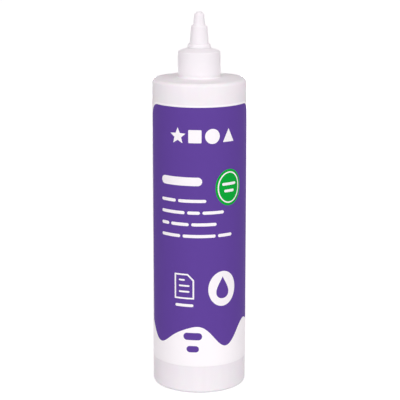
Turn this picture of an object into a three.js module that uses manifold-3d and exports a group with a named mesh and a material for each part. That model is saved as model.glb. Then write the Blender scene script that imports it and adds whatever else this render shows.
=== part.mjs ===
// White glue bottle: a round blow-moulded bottle, a front label, a screw collar with its sealing liner,
// a nozzle that rises off a plug pin to open, and the glue inside.
// Millimetres, +Z up. The foot stands on z = 0, the bottle's axis is the Z axis and the label faces -Y.
import * as THREE from "three";
import { mergeVertices, toCreasedNormals } from "three/addons/utils/BufferGeometryUtils.js";
import Module from "manifold-3d";

// Bottle: outside sizes, walls and neck.
const BODY_DIAMETER = 60;
const SHOULDER_HEIGHT = 200;
const SHOULDER_RISE = 0.5;
const SHOULDER_RADIUS = 2.6;
const HEEL_RADIUS = 2.2;
const BODY_WALL = 1.1;
const FOOT_RING_WIDTH = 3;
const BASE_HOLLOW_DEPTH = 2.6;
const BASE_HOLLOW_SLOPE_WIDTH = 4;
const BASE_HOLLOW_RADIUS = 2;
const FOOT_EDGE_RADIUS = 0.6;
const NECK_DIAMETER = 21.9;
const NECK_WALL = 2;
const NECK_ROOT_RADIUS = 1.4;
const NECK_RING_PROUD = 2.3;
const LIP_EDGE_RADIUS = 0.4;

// Glue: the air space that is left under the shoulder.
const HEADSPACE = 7.5;

// Label: a sheet with round corners, wrapped around the front.
const LABEL_BOTTOM = 18.2;
const LABEL_HEIGHT = 168.1;
const LABEL_HALF_WRAP_DEGREES = 82;
const LABEL_THICKNESS = 0.2;
const LABEL_TOP_CORNER_RADIUS = 8;
const LABEL_BOTTOM_CORNER_RADIUS = 3;

// Collar: skirt, conical deck and sealing liner.
const COLLAR_ABOVE_SHOULDER = 2;
const COLLAR_SKIRT_HEIGHT = 14.4;
const COLLAR_WALL = 1.4;
const COLLAR_DRAFT = 0.25;
const COLLAR_EDGE_RADIUS = 0.7;
const THREAD_SPACE = 1.3;
const DECK_RISE = 2;
const DECK_THICKNESS = 1.4;
const LINER_THICKNESS = 1;
const LINER_HOLE_DIAMETER = 11;

// Nozzle: foot ring, tapered barrel, step, tapered tip and rounded crown.
const FOOT_RING_DIAMETER = 14.5;
const FOOT_RING_HEIGHT = 2.6;
const FOOT_RING_EDGE_RADIUS = 1;
const BARREL_FOOT_DIAMETER = 12;
const BARREL_TOP_DIAMETER = 10.1;
const BARREL_HEIGHT = 11;
const BARREL_TOP_RADIUS = 0.9;
const STEP_RISE = 0.7;
const TIP_FOOT_DIAMETER = 7.6;
const TIP_END_DIAMETER = 6.2;
const TIP_HEIGHT = 6.55;
const CROWN_HEIGHT = 1.75;
const CROWN_FLAT_WIDTH = 0.25;
const CROWN_RADIUS = 0.4;
const ORIFICE_DIAMETER = 2.2;
const ORIFICE_LAND = 2.3;
const NOZZLE_WALL = 1.15;
const SNAP_RING_HEIGHT = 1.2;
const NOZZLE_RISE = 3.5;

// Post inside the nozzle: snap bead, wiping lip, windows for the glue and the plug pin.
const SNAP_BEAD_PROUD = 0.5;
const SNAP_BEAD_HEIGHT = 1.2;
const POST_WALL = 1.2;
const POST_BELOW_STEP = 3.6;
const WIPING_LIP_HEIGHT = 1;
const SPIDER_THICKNESS = 1.6;
const SPIDER_ARMS = 3;
const SPIDER_ARM_WIDTH = 0.9;
const SPIDER_HUB_PROUD = 0.2;
const PIN_RECESS = 0.2;
const PIN_END_RADIUS = 0.4;

// Clearances: between faces that rest on each other, pieces that move past each other, and the glue and
// its wall.
const SEAT_GAP = 0.15;
const RUNNING_GAP = 0.3;
const PLUG_GAP = 0.2;
const GLUE_GAP = 0.3;
const LABEL_GAP = 0.1;

// Facets: steps around the axis for each piece, and along each rounded corner.
const BODY_STEPS = 64;
const COLLAR_STEPS = 48;
const PIN_STEPS = 24;
const NOZZLE_STEPS = 36;
const LABEL_STEPS = 30;
const LABEL_CORNER_STEPS = 6;
const CORNER_STEPS = 3;
const WELD_DISTANCE = 0.001;
const CREASE_ANGLE = Math.PI / 6;

// Places along the axis and radii that follow from the sizes above, from the foot to the crown.
const bodyRadius = BODY_DIAMETER / 2;
const cavityRadius = bodyRadius - BODY_WALL;
const footInnerRadius = bodyRadius - HEEL_RADIUS - FOOT_RING_WIDTH;
const hollowFlatRadius = footInnerRadius - BASE_HOLLOW_SLOPE_WIDTH;
const shoulderEdgeHeight = SHOULDER_HEIGHT - SHOULDER_RISE;
const neckRadius = NECK_DIAMETER / 2;
const neckBoreRadius = neckRadius - NECK_WALL;
const neckRingRadius = neckRadius + NECK_RING_PROUD;

const collarBottom = SHOULDER_HEIGHT + COLLAR_ABOVE_SHOULDER;
const neckRingTop = collarBottom - SEAT_GAP;
const deckEdgeHeight = collarBottom + COLLAR_SKIRT_HEIGHT;
const deckTop = deckEdgeHeight + DECK_RISE;
const deckUnderside = deckEdgeHeight - DECK_THICKNESS;
const collarBoreRadius = neckRadius + THREAD_SPACE;
const collarRadius = collarBoreRadius + COLLAR_WALL;
const linerBottom = deckUnderside - SEAT_GAP - LINER_THICKNESS;
const lipHeight = linerBottom - SEAT_GAP;

const nozzleBottom = deckTop + SEAT_GAP;
const barrelFoot = nozzleBottom + FOOT_RING_HEIGHT;
const barrelTop = barrelFoot + BARREL_HEIGHT;
const tipFoot = barrelTop + STEP_RISE;
const tipEnd = tipFoot + TIP_HEIGHT;
const crownTop = tipEnd + CROWN_HEIGHT;
const orificeRadius = ORIFICE_DIAMETER / 2;
const footRingRadius = FOOT_RING_DIAMETER / 2;
const barrelBoreFootRadius = BARREL_FOOT_DIAMETER / 2 - NOZZLE_WALL;
const barrelBoreTopRadius = BARREL_TOP_DIAMETER / 2 - NOZZLE_WALL;
const tipEndRadius = TIP_END_DIAMETER / 2;
const tipBoreFootRadius = TIP_FOOT_DIAMETER / 2 - NOZZLE_WALL;
const tipBoreFoot = tipFoot - NOZZLE_WALL;
const barrelBoreTop = tipBoreFoot - Math.abs(barrelBoreTopRadius - tipBoreFootRadius);

const snapRingTop = nozzleBottom + SNAP_RING_HEIGHT;
const snapBeadBottom = snapRingTop + NOZZLE_RISE + RUNNING_GAP;
const snapBeadTop = snapBeadBottom + SNAP_BEAD_HEIGHT;
const postTop = barrelTop - POST_BELOW_STEP;
const lipFoot = postTop - WIPING_LIP_HEIGHT;
const snapBeadRadius = barrelBoreAt(snapBeadTop) - RUNNING_GAP;
const wipingLipRadius = barrelBoreAt(postTop) - RUNNING_GAP;
const postRadius = snapBeadRadius - SNAP_BEAD_PROUD;
const postBoreRadius = postRadius - POST_WALL;
const snapRingRadius = postRadius + RUNNING_GAP;
const pinRadius = orificeRadius - PLUG_GAP;

const wasm = await Module();
wasm.setup();

// Radius of the nozzle's tapered barrel bore at a height.
function barrelBoreAt(height) {
  const share = (height - barrelFoot) / (barrelBoreTop - barrelFoot);
  return THREE.MathUtils.lerp(barrelBoreFootRadius, barrelBoreTopRadius, share);
}

// Outline through corners given as [radius, height, rounding], with an arc at each corner that has a
// rounding. An open outline starts and ends on the axis, and a closed one comes back to its first point.
function roundedOutline(corners, closed) {
  const places = corners.map(([radius, height]) => new THREE.Vector2(radius, height));
  const points = [];
  places.forEach((corner, i) => {
    const rounding = corners[i][2];
    if (!rounding) {
      points.push(corner);
      return;
    }
    const before = places.at(i - 1).clone().sub(corner).normalize();
    const after = places[(i + 1) % places.length].clone().sub(corner).normalize();
    const halfAngle = Math.acos(before.dot(after)) / 2;
    const inward = before.clone().add(after).normalize();
    const centre = corner.clone().addScaledVector(inward, rounding / Math.sin(halfAngle));
    const reach = rounding / Math.tan(halfAngle);
    const start = corner.clone().addScaledVector(before, reach).sub(centre);
    const end = corner.clone().addScaledVector(after, reach).sub(centre);
    const sweep = Math.atan2(start.cross(end), start.dot(end));
    for (let step = 0; step <= CORNER_STEPS; step++) {
      const turned = start.clone().rotateAround(new THREE.Vector2(), (sweep * step) / CORNER_STEPS);
      points.push(turned.add(centre));
    }
  });
  if (closed) points.push(points[0].clone());
  return points;
}

// Solid of revolution around the Z axis.
function revolve(outline, steps) {
  return new THREE.LatheGeometry(outline, steps).rotateX(Math.PI / 2);
}

// Closed mesh as a solid that can be joined.
function solidFrom(geometry) {
  const bare = geometry.clone().deleteAttribute("normal").deleteAttribute("uv");
  const welded = mergeVertices(bare, WELD_DISTANCE);
  const vertProperties = welded.getAttribute("position").array;
  const triVerts = new Uint32Array(welded.index.array);
  return new wasm.Manifold(new wasm.Mesh({ numProp: 3, vertProperties, triVerts }));
}

// One geometry from several that overlap.
function join(geometries) {
  const joined = geometries.map(solidFrom).reduce((whole, next) => whole.add(next));
  const { vertProperties, triVerts } = joined.getMesh();
  const geometry = new THREE.BufferGeometry();
  geometry.setAttribute("position", new THREE.BufferAttribute(vertProperties, 3));
  geometry.setIndex(new THREE.BufferAttribute(triVerts, 1));
  return toCreasedNormals(geometry, CREASE_ANGLE);
}

// Corners of the cavity's floor and side, drawn in by a gap, from the axis to the side wall at a height.
function cavityCorners(gap, height) {
  const floor = BODY_WALL + gap;
  return [
    [0, floor + BASE_HOLLOW_DEPTH],
    [hollowFlatRadius, floor + BASE_HOLLOW_DEPTH, BASE_HOLLOW_RADIUS],
    [footInnerRadius, floor, FOOT_EDGE_RADIUS],
    [cavityRadius - gap, floor, Math.max(HEEL_RADIUS - BODY_WALL, 0)],
    [cavityRadius - gap, height],
  ];
}

// Blow-moulded shell: hollowed base with a flat foot ring, straight side, low shoulder, open neck, and
// the ring around the neck's foot that the collar stops at.
function bottleBody() {
  const shoulderUnderside = shoulderEdgeHeight - BODY_WALL;
  const outside = [
    [0, BASE_HOLLOW_DEPTH],
    [hollowFlatRadius, BASE_HOLLOW_DEPTH, BASE_HOLLOW_RADIUS],
    [footInnerRadius, 0, FOOT_EDGE_RADIUS],
    [bodyRadius, 0, HEEL_RADIUS],
    [bodyRadius, shoulderEdgeHeight, SHOULDER_RADIUS],
    [neckRingRadius, SHOULDER_HEIGHT, NECK_ROOT_RADIUS],
    [neckRingRadius, neckRingTop],
    [neckRadius, neckRingTop],
    [neckRadius, lipHeight, LIP_EDGE_RADIUS],
    [neckBoreRadius, lipHeight, LIP_EDGE_RADIUS],
    [neckBoreRadius, SHOULDER_HEIGHT - BODY_WALL, NECK_ROOT_RADIUS],
  ];
  const inside = cavityCorners(0, shoulderUnderside).reverse();
  inside[0].push(Math.max(SHOULDER_RADIUS - BODY_WALL, 0));
  return revolve(roundedOutline([...outside, ...inside], false), BODY_STEPS);
}

// Glue up to the headspace, just clear of the wall.
function glueFill() {
  const surface = shoulderEdgeHeight - BODY_WALL - HEADSPACE;
  const corners = [...cavityCorners(GLUE_GAP, surface), [0, surface]];
  return revolve(roundedOutline(corners, false), COLLAR_STEPS);
}

// Distances along the label's width from its left edge, closer together along the round corners.
function labelColumns(width) {
  const radius = LABEL_TOP_CORNER_RADIUS;
  const insets = [];
  for (let step = 0; step < LABEL_CORNER_STEPS; step++) {
    insets.push(radius * (1 - Math.cos((step / LABEL_CORNER_STEPS) * (Math.PI / 2))));
  }
  const middle = [];
  for (let step = 0; step <= LABEL_STEPS; step++) {
    middle.push(radius + ((width - 2 * radius) * step) / LABEL_STEPS);
  }
  return [...insets, ...middle, ...insets.map((inset) => width - inset).reverse()];
}

// How far a round corner draws an edge in, at a distance from the label's side.
function cornerDrop(radius, inset) {
  const run = Math.max(radius - inset, 0);
  return radius - Math.sqrt(radius ** 2 - run ** 2);
}

// Printed sheet bent around the front of the body.
function frontLabel() {
  const innerRadius = bodyRadius + LABEL_GAP;
  const halfWrap = THREE.MathUtils.degToRad(LABEL_HALF_WRAP_DEGREES);
  const width = 2 * halfWrap * innerRadius;
  const columns = labelColumns(width);
  const positions = [];
  columns.forEach((across) => {
    const angle = across / innerRadius - halfWrap;
    const inset = Math.min(across, width - across);
    const low = LABEL_BOTTOM + cornerDrop(LABEL_BOTTOM_CORNER_RADIUS, inset);
    const high = LABEL_BOTTOM + LABEL_HEIGHT - cornerDrop(LABEL_TOP_CORNER_RADIUS, inset);
    [innerRadius, innerRadius + LABEL_THICKNESS].forEach((radius) => {
      const x = radius * Math.sin(angle);
      const y = -radius * Math.cos(angle);
      positions.push(x, y, low, x, y, high);
    });
  });
  const index = [];
  const quad = (a, b, c, d) => index.push(a, b, c, a, c, d);
  const corners = (column) => [0, 1, 2, 3].map((corner) => column * 4 + corner);
  const [leftLow, leftHigh, leftOuterLow, leftOuterHigh] = corners(0);
  quad(leftLow, leftOuterLow, leftOuterHigh, leftHigh);
  for (let column = 0; column + 1 < columns.length; column++) {
    const [low, high, outerLow, outerHigh] = corners(column);
    const [nextLow, nextHigh, nextOuterLow, nextOuterHigh] = corners(column + 1);
    quad(outerLow, nextOuterLow, nextOuterHigh, outerHigh);
    quad(low, high, nextHigh, nextLow);
    quad(high, outerHigh, nextOuterHigh, nextHigh);
    quad(low, nextLow, nextOuterLow, outerLow);
  }
  const [rightLow, rightHigh, rightOuterLow, rightOuterHigh] = corners(columns.length - 1);
  quad(rightLow, rightHigh, rightOuterHigh, rightOuterLow);
  const geometry = new THREE.BufferGeometry();
  geometry.setAttribute("position", new THREE.Float32BufferAttribute(positions, 3));
  geometry.setIndex(index);
  return toCreasedNormals(geometry, CREASE_ANGLE);
}

// Sealing wad between the lip and the collar's deck.
function neckLiner() {
  const outerRadius = collarBoreRadius - RUNNING_GAP;
  const holeRadius = LINER_HOLE_DIAMETER / 2;
  const corners = [
    [holeRadius, linerBottom],
    [outerRadius, linerBottom],
    [outerRadius, linerBottom + LINER_THICKNESS],
    [holeRadius, linerBottom + LINER_THICKNESS],
  ];
  return revolve(roundedOutline(corners, true), COLLAR_STEPS);
}

// Skirt, conical deck and funnel of the collar, and the hollow post with its snap bead and wiping lip.
function collarShell() {
  const landRadius = footRingRadius + RUNNING_GAP;
  const corners = [
    [collarBoreRadius, collarBottom],
    [collarRadius, collarBottom, COLLAR_EDGE_RADIUS],
    [collarRadius - COLLAR_DRAFT, deckEdgeHeight, COLLAR_EDGE_RADIUS],
    [landRadius, deckTop],
    [postRadius, deckTop],
    [postRadius, snapBeadBottom],
    [snapBeadRadius, snapBeadBottom],
    [snapBeadRadius, snapBeadBottom + SNAP_BEAD_HEIGHT / 2],
    [postRadius, snapBeadTop],
    [postRadius, lipFoot],
    [wipingLipRadius, postTop],
    [postBoreRadius, postTop],
    [postBoreRadius, deckTop - DECK_THICKNESS],
    [LINER_HOLE_DIAMETER / 2, deckUnderside],
    [collarBoreRadius, deckUnderside],
  ];
  return revolve(roundedOutline(corners, true), COLLAR_STEPS);
}

// Plate across the post's mouth, with windows between its arms that let the glue pass.
function spider() {
  const plate = new THREE.Shape();
  plate.absarc(0, 0, postBoreRadius + POST_WALL / 2, 0, 2 * Math.PI);
  const hubRadius = pinRadius + SPIDER_HUB_PROUD;
  for (let arm = 0; arm < SPIDER_ARMS; arm++) {
    const start = (2 * Math.PI * arm) / SPIDER_ARMS;
    const end = start + (2 * Math.PI) / SPIDER_ARMS;
    const outerHalf = Math.asin(SPIDER_ARM_WIDTH / 2 / postBoreRadius);
    const innerHalf = Math.asin(SPIDER_ARM_WIDTH / 2 / hubRadius);
    const window = new THREE.Path();
    window.absarc(0, 0, postBoreRadius, start + outerHalf, end - outerHalf, false);
    window.absarc(0, 0, hubRadius, end - innerHalf, start + innerHalf, true);
    window.closePath();
    plate.holes.push(window);
  }
  const settings = { depth: SPIDER_THICKNESS, bevelEnabled: false, curveSegments: CORNER_STEPS * 2 };
  return new THREE.ExtrudeGeometry(plate, settings).translate(0, 0, postTop - SPIDER_THICKNESS);
}

// Plug pin that fills the nozzle's orifice while the nozzle is down.
function plugPin() {
  const end = crownTop - PIN_RECESS;
  const corners = [
    [0, postTop - SPIDER_THICKNESS],
    [pinRadius, postTop - SPIDER_THICKNESS],
    [pinRadius, end, PIN_END_RADIUS],
    [0, end],
  ];
  return revolve(roundedOutline(corners, false), PIN_STEPS);
}

// Screw collar as one moulding: shell with its post, spider and pin.
function screwCollar() {
  return join([collarShell(), spider(), plugPin()]);
}

// Stepped nozzle with its foot ring, snap ring, tapered bore and orifice.
function twistNozzle() {
  const crownFlatRadius = orificeRadius + CROWN_FLAT_WIDTH;
  const tipBoreTop = crownTop - ORIFICE_LAND;
  const tipBoreEndRadius = tipEndRadius - NOZZLE_WALL;
  const boreFoot = snapRingTop + barrelBoreFootRadius - snapRingRadius;
  const corners = [
    [snapRingRadius, nozzleBottom],
    [footRingRadius, nozzleBottom, FOOT_RING_EDGE_RADIUS],
    [footRingRadius, barrelFoot, FOOT_RING_EDGE_RADIUS],
    [BARREL_FOOT_DIAMETER / 2, barrelFoot],
    [BARREL_TOP_DIAMETER / 2, barrelTop, BARREL_TOP_RADIUS],
    [TIP_FOOT_DIAMETER / 2, tipFoot],
    [tipEndRadius, tipEnd, CROWN_RADIUS],
    [crownFlatRadius, crownTop],
    [orificeRadius, crownTop],
    [orificeRadius, tipBoreTop],
    [tipBoreEndRadius, tipBoreTop - (tipBoreEndRadius - orificeRadius)],
    [tipBoreFootRadius, tipBoreFoot],
    [barrelBoreTopRadius, barrelBoreTop],
    [barrelBoreAt(boreFoot), boreFoot],
    [snapRingRadius, snapRingTop],
  ];
  return revolve(roundedOutline(corners, true), NOZZLE_STEPS);
}

// Named mesh with its own finish.
function piece(name, geometry, color, roughness) {
  const material = new THREE.MeshStandardMaterial({ color, roughness, metalness: 0 });
  const mesh = new THREE.Mesh(geometry, material);
  mesh.name = name;
  return mesh;
}

const bottle = new THREE.Group();
bottle.add(piece("bottle_body", bottleBody(), 0xf3eef2, 0.4));
bottle.add(piece("glue_fill", glueFill(), 0xfaf9f5, 0.25));
bottle.add(piece("front_label", frontLabel(), 0x614494, 0.35));
bottle.add(piece("neck_liner", neckLiner(), 0xe9e9e6, 0.8));
bottle.add(piece("screw_collar", screwCollar(), 0xf4f0f4, 0.35));
bottle.add(piece("twist_nozzle", twistNozzle(), 0xf5f1f5, 0.35));

export default bottle;
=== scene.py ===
"""White glue bottle with a printed front label, a screw collar and a nozzle that lifts off its plug pin.

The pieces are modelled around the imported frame, in metres, with +Z up the bottle's axis. The label faces -Y.
"""

import math
from collections import namedtuple
from contextlib import contextmanager

import bmesh
import bpy
from bpy.props import FloatProperty, FloatVectorProperty, IntProperty, PointerProperty
from bpy.types import NodeSocket, Operator, Panel, PropertyGroup
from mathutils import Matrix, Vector


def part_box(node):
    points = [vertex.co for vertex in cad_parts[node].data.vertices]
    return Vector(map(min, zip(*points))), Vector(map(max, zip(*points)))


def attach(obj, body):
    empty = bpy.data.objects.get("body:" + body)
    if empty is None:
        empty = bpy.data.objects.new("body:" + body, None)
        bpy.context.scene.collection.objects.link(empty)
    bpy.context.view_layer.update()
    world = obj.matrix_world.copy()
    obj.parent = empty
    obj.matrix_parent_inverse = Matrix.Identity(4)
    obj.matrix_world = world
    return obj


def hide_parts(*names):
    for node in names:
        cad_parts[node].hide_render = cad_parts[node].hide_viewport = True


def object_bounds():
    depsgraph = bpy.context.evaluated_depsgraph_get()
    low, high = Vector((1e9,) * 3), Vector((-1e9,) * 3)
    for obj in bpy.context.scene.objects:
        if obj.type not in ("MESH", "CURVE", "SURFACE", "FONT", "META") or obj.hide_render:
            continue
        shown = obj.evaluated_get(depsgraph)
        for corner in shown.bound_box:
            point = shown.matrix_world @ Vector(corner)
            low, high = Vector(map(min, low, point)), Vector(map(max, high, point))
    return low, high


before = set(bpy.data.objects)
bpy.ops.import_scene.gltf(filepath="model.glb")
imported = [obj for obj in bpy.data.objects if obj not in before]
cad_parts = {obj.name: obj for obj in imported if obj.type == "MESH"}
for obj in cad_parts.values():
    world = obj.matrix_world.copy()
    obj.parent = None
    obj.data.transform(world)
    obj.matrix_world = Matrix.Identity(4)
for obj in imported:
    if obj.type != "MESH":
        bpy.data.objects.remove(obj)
CAD_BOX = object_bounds()

bl_info = {
    "name": "White Glue Bottle",
    "version": (1, 0, 0),
    "blender": (4, 5, 0),
    "location": "3D View > Sidebar > Glue Bottle",
    "description": "Models a squeeze bottle of white glue with its label, screw collar and lifting nozzle",
    "category": "Add Mesh",
}

MM = 0.001
FULL_TURN = 2 * math.pi
UPRIGHT = (math.pi / 2, 0, 0)
WELD_DISTANCE = 0.001 * MM
ARC_STEPS = 8
SHARP_ANGLE = math.radians(32)

BOTTLE_LOW, BOTTLE_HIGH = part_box("bottle_body")
GLUE_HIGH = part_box("glue_fill")[1]
LABEL_LOW, LABEL_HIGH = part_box("front_label")
LINER_LOW, LINER_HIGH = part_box("neck_liner")
COLLAR_LOW, COLLAR_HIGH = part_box("screw_collar")
NOZZLE_LOW, NOZZLE_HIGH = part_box("twist_nozzle")


# Properties: sizes and colours that a user would change.

def linear(hex_colour):
    """Linear colour of an sRGB hex value such as #614494."""
    channels = [int(hex_colour[i:i + 2], 16) / 255 for i in (1, 3, 5)]
    return [c / 12.92 if c <= 0.04045 else ((c + 0.055) / 1.055) ** 2.4 for c in channels]


def length(name, millimetres, description):
    """Length property whose default is given in millimetres."""
    return FloatProperty(name=name, description=description, default=millimetres * MM, precision=5,
                         unit="LENGTH", subtype="DISTANCE")


def angle(name, degrees, description):
    """Angle property whose default is given in degrees."""
    return FloatProperty(name=name, description=description, default=math.radians(degrees),
                         unit="ROTATION", subtype="ANGLE")


def colour(name, hex_colour, description):
    """Colour property whose default is given as an sRGB hex value."""
    return FloatVectorProperty(name=name, description=description, default=linear(hex_colour), size=3,
                               min=0, max=1, subtype="COLOR")


def amount(name, value, description, **limits):
    """Number property with its limits and unit."""
    return FloatProperty(name=name, description=description, default=value, **limits)


def count(name, number, description, **limits):
    """Whole number property with its limits."""
    return IntProperty(name=name, description=description, default=number, **limits)


class BottleSizes(PropertyGroup):
    """Sizes of the blow-moulded bottle and the glue in it."""
    shoulder_height: length("Shoulder height", 200, "Height where the shoulder meets the neck")
    shoulder_rise: length("Shoulder rise", 0.5, "Rise of the shoulder from its edge to the neck")
    shoulder_radius: length("Shoulder radius", 2.6, "Rounding of the shoulder's edge")
    heel_radius: length("Heel radius", 2.2, "Rounding between the side and the foot")
    wall: length("Wall", 1.1, "Thickness of the blown wall")
    foot_ring_width: length("Foot ring width", 3, "Width of the flat ring that the bottle stands on")
    hollow_depth: length("Base hollow depth", 2.6, "Height of the hollow under the base")
    hollow_slope: length("Base hollow slope", 4, "Width of the slope into the hollow")
    hollow_radius: length("Base hollow radius", 2, "Rounding where the slope meets the hollow's flat")
    foot_edge_radius: length("Foot edge radius", 0.6, "Rounding of the foot ring's inner edge")
    neck_diameter: length("Neck diameter", 21.9, "Outside of the neck between its threads")
    neck_wall: length("Neck wall", 2, "Thickness of the neck's wall")
    neck_root_radius: length("Neck root radius", 1.4, "Rounding between the shoulder and the neck")
    neck_ring_proud: length("Neck ring step", 2.3, "How far the ring that the collar stops at stands out")
    neck_ring_gap: length("Neck ring gap", 0.08, "Space between the ring and the collar")
    neck_ring_radius: length("Neck ring radius", 0.12, "Rounding of the ring's edge")
    lip_radius: length("Lip radius", 0.4, "Rounding of the mouth's edges")
    parting_width: length("Parting line width", 0.5, "Width of the mould's parting line")
    parting_height: length("Parting line height", 0.06, "How far the parting line stands out")
    pinch_length: length("Pinch-off length", 36, "Length of the weld across the base")
    pinch_width: length("Pinch-off width", 1.2, "Width of the weld across the base")
    pinch_height: length("Pinch-off height", 0.5, "How far the weld stands out of the base")
    pinch_radius: length("Pinch-off radius", 0.3, "Rounding of the weld's edges")
    glue_gap: length("Glue gap", 0.3, "Space between the glue and the wall")
    meniscus: length("Meniscus", 1.2, "How far the glue creeps up the wall")


class ThreadSizes(PropertyGroup):
    """Sizes of the screw thread between the neck and the collar."""
    pitch: length("Pitch", 3.175, "Rise of the thread in one turn, an eighth of an inch")
    turns: amount("Turns", 1.75, "Turns of thread on the neck", min=0.5, max=3)
    steps: count("Steps per turn", 72, "Facets in one turn of thread", min=12)
    first_height: length("First height", 204.9, "Height where the neck's thread begins")
    neck_crest: length("Neck thread diameter", 24, "Outside of the neck's thread")
    collar_crest: length("Collar thread diameter", 22.4, "Inside of the collar's thread")
    foot_width: length("Ridge foot", 1.35, "Width of a ridge where it leaves the wall")
    crest_width: length("Ridge crest", 0.55, "Width of a ridge at its crest")
    root_sunk: length("Ridge root", 0.25, "How far a ridge is rooted in its wall")
    run_out: angle("Run-out", 40, "Angle over which a ridge rises out of its wall")


class CollarSizes(PropertyGroup):
    """Sizes of the screw collar, its post and its plug pin."""
    skirt_height: length("Skirt height", 14.4, "Height of the collar's straight side")
    wall: length("Skirt wall", 1.4, "Thickness of the skirt")
    draft: length("Draft", 0.25, "How far the skirt draws in towards its top")
    edge_radius: length("Deck edge radius", 0.7, "Rounding between the skirt and the deck")
    skirt_edge_radius: length("Skirt edge radius", 0.12, "Rounding of the skirt's bottom edge")
    deck_thickness: length("Deck thickness", 1.4, "Thickness of the deck")
    mouth_diameter: length("Mouth diameter", 11, "Opening under the deck and through the liner")
    post_wall: length("Post wall", 1.2, "Thickness of the hollow post")
    post_below_step: length("Post below step", 3.6, "Drop from the nozzle's step to the post's top")
    lip_height: length("Wiping lip height", 1, "Height of the flared lip that wipes the nozzle's bore")
    bead_proud: length("Snap bead step", 0.5, "How far the snap bead stands out of the post")
    bead_height: length("Snap bead height", 1.2, "Height of the snap bead")
    arm_count: count("Arms", 3, "Arms that carry the plug pin", min=2, max=6)
    arm_width: length("Arm width", 0.9, "Width of an arm")
    arm_height: length("Arm height", 1.6, "Height of the arms")
    hub_proud: length("Hub step", 0.2, "How far the pin's hub stands out of the pin")
    pin_end_radius: length("Pin end radius", 0.4, "Rounding of the plug pin's end")
    edge_break: length("Edge break", 0.12, "Small rounding of the remaining edges")
    inner_radius: length("Inner corner radius", 0.24, "Rounding of the remaining inner corners")
    liner_bite: length("Liner bite", 0.15, "Depth of the ring that the lip presses into the liner")


class NozzleSizes(PropertyGroup):
    """Sizes of the stepped nozzle."""
    foot_ring_height: length("Foot ring height", 2.6, "Height of the ring at the nozzle's foot")
    foot_ring_radius: length("Foot ring rounding", 1, "Rounding of the foot ring's top edge")
    barrel_foot: length("Barrel foot diameter", 12, "Outside of the barrel at its foot")
    barrel_top: length("Barrel top diameter", 10.1, "Outside of the barrel at its top")
    barrel_height: length("Barrel height", 11, "Height of the tapered barrel")
    barrel_top_radius: length("Barrel top rounding", 0.9, "Rounding of the step's edge")
    step_rise: length("Step rise", 0.7, "Rise of the step between barrel and tip")
    tip_foot: length("Tip foot diameter", 7.6, "Outside of the tip at its foot")
    tip_end: length("Tip end diameter", 6.2, "Outside of the tip below its crown")
    tip_height: length("Tip height", 6.55, "Height of the tapered tip")
    crown_radius: length("Crown rounding", 0.4, "Rounding between tip and crown")
    crown_flat: length("Crown flat", 0.25, "Width of the flat around the orifice")
    orifice: length("Orifice diameter", 2.2, "Hole that the glue comes out of")
    orifice_land: length("Orifice land", 2.3, "Depth of the straight hole")
    wall: length("Wall", 1.15, "Thickness of the nozzle's wall")
    snap_ring_height: length("Snap ring height", 1.2, "Height of the ring that catches the snap bead")
    rise: length("Rise", 3.5, "Travel of the nozzle from shut to open")
    running_gap: length("Running gap", 0.3, "Space between pieces that move past each other")
    plug_gap: length("Plug gap", 0.2, "Space around the pin in the orifice")
    seat_gap: length("Seat gap", 0.03, "Space between the shut nozzle and the collar's deck")


class LabelSizes(PropertyGroup):
    """Sizes of the wrapped label and its print."""
    top_corner: length("Top corner radius", 10, "Rounding of the film's top corners")
    bottom_corner: length("Bottom corner radius", 3, "Rounding of the film's bottom corners")
    half_wrap: angle("Half wrap", 82, "Angle from the label's middle to its edge")
    film: length("Film", 0.15, "Thickness of the film")
    ink: length("Ink", 0.03, "Thickness of one layer of screen ink")
    margin: length("Margin", 1.3, "Unprinted border of the film")
    column: angle("Column", 1, "Angle of one column of faces around the bottle")
    wave_height: length("Wave height", 39, "Middle height of the printed wave")
    bar: length("Row bar", 2, "Height of the bars in the rows")


class Finishes(PropertyGroup):
    """Colours of the materials."""
    bottle: colour("Bottle", "#f4f1f4", "Milk-white polyethylene of the bottle")
    closure: colour("Closure", "#f1eff2", "White polypropylene of the collar and nozzle")
    film: colour("Film", "#fdfcfe", "White polypropylene film of the label")
    violet: colour("Violet ink", "#60439a", "Ink of the label's field")
    white: colour("White ink", "#faf9fb", "Ink of the marks on the field")
    green: colour("Green ink", "#06a838", "Ink of the oval badge")
    liner: colour("Liner", "#e6e6e1", "Foamed polyethylene of the sealing liner")
    glue: colour("Glue", "#f8f6ef", "White polyvinyl acetate glue")
    floor: colour("Floor", "#d2d2d4", "Matt paper of the studio floor")


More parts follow.
